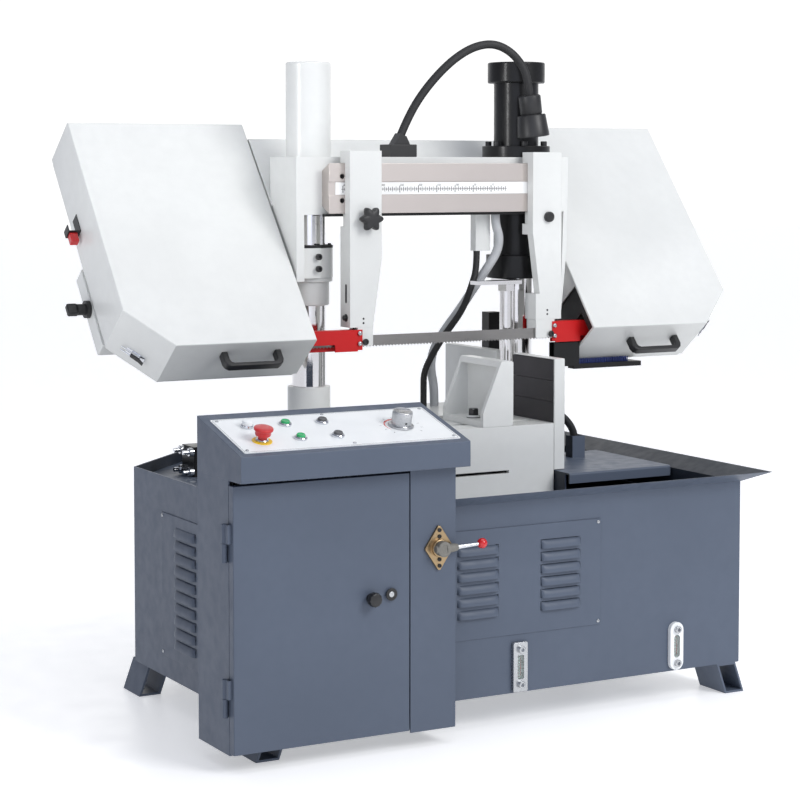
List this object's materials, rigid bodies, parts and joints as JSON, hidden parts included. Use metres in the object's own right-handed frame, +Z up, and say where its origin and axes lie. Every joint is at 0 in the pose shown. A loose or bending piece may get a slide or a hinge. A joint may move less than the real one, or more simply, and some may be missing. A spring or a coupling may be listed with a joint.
{
  "type": "double-column band saw",
  "caption": "Double-column horizontal metal-cutting band saw with a tilted blade bow, hydraulic lift, vise, coolant tank and control cabinet.",
  "frame": {"origin": "on the floor at the centre of the four anchor holes", "axes": "+X along the cutting run of the blade, to the drive side; -Y towards the operator; +Z up"},
  "size_m": [1.6883, 1.1208, 1.5035],
  "materials": {
    "paint_blue_grey": "satin, slightly textured",
    "paint_white": "semi-gloss",
    "paint_red": "gloss",
    "paint_black": "semi-gloss",
    "panel_white": "satin",
    "chrome_rod": "polished",
    "steel_ground": "ground",
    "steel_dark": "blackened",
    "blade_steel": "rolled",
    "cast_grey": "machined rim",
    "zinc_steel": "zinc plated",
    "scale_face": "matt",
    "plastic_black": "fine texture",
    "plastic_red": "gloss",
    "plastic_green": "gloss",
    "plastic_grey": "gloss",
    "knob_aluminium": "satin turned",
    "bezel_chrome": "polished",
    "rubber_black": "matt",
    "conduit_grey": "ribbed",
    "motor_blue": "satin"
  },
  "bodies": {
    "base": {"base_tank": "paint_blue_grey", "anchor_feet": "paint_blue_grey", "tray_decks": "paint_blue_grey", "louvre_panels": "paint_blue_grey", "level_gauges": "zinc_steel", "cabinet_shell": "paint_blue_grey", "console_housing": "paint_blue_grey", "control_panel": "panel_white", "button_bezels": "bezel_chrome", "electric_panel": "zinc_steel", "lever_plate": "steel_ground", "hydraulic_pack": "motor_blue", "coolant_pump": "motor_blue", "hydraulic_valves": "paint_black", "vise_bed": "paint_white", "fixed_jaws": "paint_white", "jaw_plates": "steel_dark", "left_column": "chrome_rod", "piston_rod": "chrome_rod", "coolant_hose": "rubber_black"},
    "bow": {"bow_frame": "paint_white", "dovetail_rail": "steel_ground", "ruler_scale": "scale_face", "column_sleeves": "paint_white", "cylinder_barrel": "paint_black", "right_arm": "paint_white", "right_guide_block": "paint_white", "right_guard": "paint_red", "saw_blade": "blade_steel", "cable_box": "plastic_black", "power_cable": "rubber_black", "cable_connector": "plastic_black", "drive_gearbox": "motor_blue", "drive_motor": "motor_blue", "tension_slide": "paint_white", "brush_guard": "paint_black", "guide_rod": "chrome_rod", "lift_conduit": "conduit_grey", "lift_hose": "rubber_black"},
    "left_arm": {"left_arm": "paint_white", "left_guide_block": "paint_white", "left_guard": "paint_red"},
    "star_knob": {"star_knob": "plastic_black"},
    "left_hood": {"left_hood": "paint_white", "left_handle": "plastic_black"},
    "right_hood": {"right_hood": "paint_white", "right_handle": "plastic_black"},
    "idler_wheel": {"idler_wheel": "cast_grey"},
    "drive_wheel": {"drive_wheel": "cast_grey"},
    "moving_jaw": {"moving_jaw": "paint_white"},
    "door": {"cabinet_door": "paint_blue_grey"},
    "door_knob": {"door_knob": "plastic_black"},
    "stop_button": {"stop_button": "plastic_red"},
    "green_button_far": {"green_button_far": "plastic_green"},
    "green_button_near": {"green_button_near": "plastic_green"},
    "grey_button_far": {"grey_button_far": "plastic_grey"},
    "grey_button_near": {"grey_button_near": "plastic_grey"},
    "speed_knob": {"speed_knob": "knob_aluminium"},
    "feed_lever": {"feed_lever": "steel_ground"},
    "tension_knob": {"tension_knob": "plastic_black"}
  },
  "joints": [
    {"name": "bow_lift", "type": "slide", "parent": "base", "child": "bow", "axis": [0, 0, 1], "range_m": [-0.185, 0.03], "deforming": ["lift_conduit", "lift_hose"]},
    {"name": "arm_slide", "type": "slide", "parent": "bow", "child": "left_arm", "axis": [1, 0, 0], "range_m": [-0.01, 0.2]},
    {"name": "star_turn", "type": "hinge", "parent": "left_arm", "child": "star_knob", "pos_m": [-0.089, 0.14, 1.079], "axis": [0, -1, 0], "range_deg": [-180, 180]},
    {"name": "left_hood_open", "type": "hinge", "parent": "bow", "child": "left_hood", "pos_m": [-0.465, 0.60264, 1.21583], "axis": [-1, 0, 0], "range_deg": [0, 70]},
    {"name": "right_hood_open", "type": "hinge", "parent": "bow", "child": "right_hood", "pos_m": [0.716, 0.60264, 1.21583], "axis": [-1, 0, 0], "range_deg": [0, 70]},
    {"name": "drive_spin", "type": "hinge", "parent": "bow", "child": "drive_wheel", "pos_m": [0.7035, 0.27504, 0.94374], "axis": [0, -0.7771, 0.6293], "continuous": true},
    {"name": "idler_spin", "type": "hinge", "parent": "bow", "child": "idler_wheel", "pos_m": [-0.4525, 0.27504, 0.94374], "axis": [0, -0.7771, 0.6293], "continuous": true},
    {"name": "jaw_slide", "type": "slide", "parent": "base", "child": "moving_jaw", "axis": [1, 0, 0], "range_m": [-0.3, 0.11]},
    {"name": "door_open", "type": "hinge", "parent": "base", "child": "door", "pos_m": [-0.7, -0.395, 0.3], "axis": [0, 0, -1], "range_deg": [0, 120]},
    {"name": "latch_turn", "type": "hinge", "parent": "door", "child": "door_knob", "pos_m": [-0.387, -0.422, 0.324], "axis": [0, -1, 0], "range_deg": [0, 90]},
    {"name": "stop_press", "type": "slide", "parent": "base", "child": "stop_button", "axis": [0, 0.2735, -0.9619], "range_m": [0, 0.005], "stiffness_N_per_m": 600, "springref_m": -0.002},
    {"name": "green_far_press", "type": "slide", "parent": "base", "child": "green_button_far", "axis": [0, 0.2735, -0.9619], "range_m": [0, 0.003], "stiffness_N_per_m": 600, "springref_m": -0.002},
    {"name": "green_near_press", "type": "slide", "parent": "base", "child": "green_button_near", "axis": [0, 0.2735, -0.9619], "range_m": [0, 0.003], "stiffness_N_per_m": 600, "springref_m": -0.002},
    {"name": "grey_far_press", "type": "slide", "parent": "base", "child": "grey_button_far", "axis": [0, 0.2735, -0.9619], "range_m": [0, 0.003], "stiffness_N_per_m": 600, "springref_m": -0.002},
    {"name": "grey_near_press", "type": "slide", "parent": "base", "child": "grey_button_near", "axis": [0, 0.2735, -0.9619], "range_m": [0, 0.003], "stiffness_N_per_m": 600, "springref_m": -0.002},
    {"name": "speed_turn", "type": "hinge", "parent": "base", "child": "speed_knob", "pos_m": [-0.288, -0.36766, 0.66326], "axis": [0, -0.2735, 0.9619], "range_deg": [-135, 135]},
    {"name": "lever_turn", "type": "hinge", "parent": "base", "child": "feed_lever", "pos_m": [-0.23, -0.44, 0.415], "axis": [0, -1, 0], "range_deg": [-45, 45]},
    {"name": "tension_turn", "type": "hinge", "parent": "bow", "child": "tension_knob", "pos_m": [-0.72, 0.3577, 0.87681], "axis": [-1, 0, 0], "range_deg": [-180, 180]}
  ],
  "couplings": [
    {"joint": "idler_spin", "follows": "drive_spin", "ratio": 1}
  ]
}
